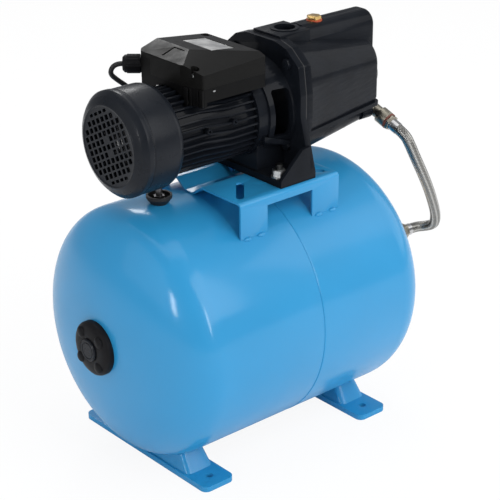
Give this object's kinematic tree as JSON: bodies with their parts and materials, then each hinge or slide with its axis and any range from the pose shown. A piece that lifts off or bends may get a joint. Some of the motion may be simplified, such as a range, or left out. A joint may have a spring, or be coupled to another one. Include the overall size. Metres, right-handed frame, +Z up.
{
  "type": "centrifugal water pump booster set",
  "caption": "Self-priming electric jet pump on a horizontal blue pressure tank, joined by a braided steel hose, with a mains lead and plug.",
  "frame": {"origin": "on the floor, midway between the four foot holes", "axes": "+X along the tank and pump from the fan to the suction port, +Y to the back, +Z up"},
  "size_m": [0.6638, 0.5413, 0.59],
  "materials": {
    "tank_blue": "glossy blue enamel",
    "pump_black": "satin black enamel on casting",
    "cover_plastic": "satin black moulding",
    "box_plastic": "satin black moulding",
    "gland_plastic": "matt black moulding",
    "cord_rubber": "matt black rubber",
    "plug_rubber": "matt black rubber",
    "membrane_rubber": "matt",
    "seal_rubber": "orange-red washer",
    "seal_black": "black sheet",
    "gasket_fibre": "reddish-brown",
    "aluminium": "as cast",
    "steel": "ground",
    "zinc": "zinc plated",
    "lamination": "stacked sheet",
    "copper": "enamelled copper wire",
    "brass": "machined brass",
    "nickel": "nickel plated brass",
    "braid": "braided stainless wire",
    "impeller_plastic": "glass-filled",
    "block_white": "natural",
    "ceramic": "ceramic"
  },
  "bodies": {
    "base": {"air_valve": "brass", "body_bolts": "pump_black", "body_gasket": "seal_black", "braided_hose": "braid", "cable_gland": "gland_plastic", "capacitor": "block_white", "cord_coil": "cord_rubber", "cord_tail": "cord_rubber", "diffuser": "impeller_plastic", "drain_plug": "brass", "ejector": "impeller_plastic", "elbow_gasket": "gasket_fibre", "fan_cover": "cover_plastic", "flange_bolts": "zinc", "foot_bolts": "zinc", "front_bearing": "steel", "front_end_shield": "pump_black", "gland_nut": "gland_plastic", "hose_elbow": "nickel", "lid_screws": "zinc", "lower_ferrule": "steel", "lower_hose_nut": "nickel", "mains_plug": "plug_rubber", "motor_housing": "pump_black", "motor_support": "cord_rubber", "power_cord": "cord_rubber", "pump_body": "pump_black", "pump_bracket": "pump_black", "pump_console": "tank_blue", "rear_bearing": "steel", "rear_end_shield": "aluminium", "seal_seat": "ceramic", "stator_core": "lamination", "stator_windings": "copper", "support_stud": "zinc", "tank_connector": "brass", "tank_end_cap": "cover_plastic", "tank_flange": "zinc", "tank_foot_left": "tank_blue", "tank_foot_right": "tank_blue", "tank_membrane": "membrane_rubber", "tank_shell_left": "tank_blue", "tank_shell_right": "tank_blue", "terminal_block": "block_white", "terminal_box_base": "box_plastic", "terminal_box_lid": "box_plastic", "upper_ferrule": "steel", "upper_hose_nut": "nickel"},
    "rotor": {"motor_shaft": "steel", "rotor_core": "aluminium", "cooling_fan": "impeller_plastic", "seal_ring": "steel", "impeller": "impeller_plastic", "impeller_nut": "brass"},
    "filler_plug": {"priming_plug": "brass", "priming_plug_seal": "seal_rubber"},
    "valve_button": {"air_valve_cap": "cover_plastic"}
  },
  "joints": [
    {"name": "rotor_spin", "type": "hinge", "parent": "base", "child": "rotor", "pos_m": [0, 0, 0.482], "axis": [1, 0, 0], "continuous": true},
    {"name": "filler_plug_lift", "type": "slide", "parent": "base", "child": "filler_plug", "axis": [0, 0, 1], "range_m": [0, 0.014]},
    {"name": "valve_button_pull", "type": "slide", "parent": "base", "child": "valve_button", "axis": [-1, 0, 0], "range_m": [0, 0.012]}
  ]
}
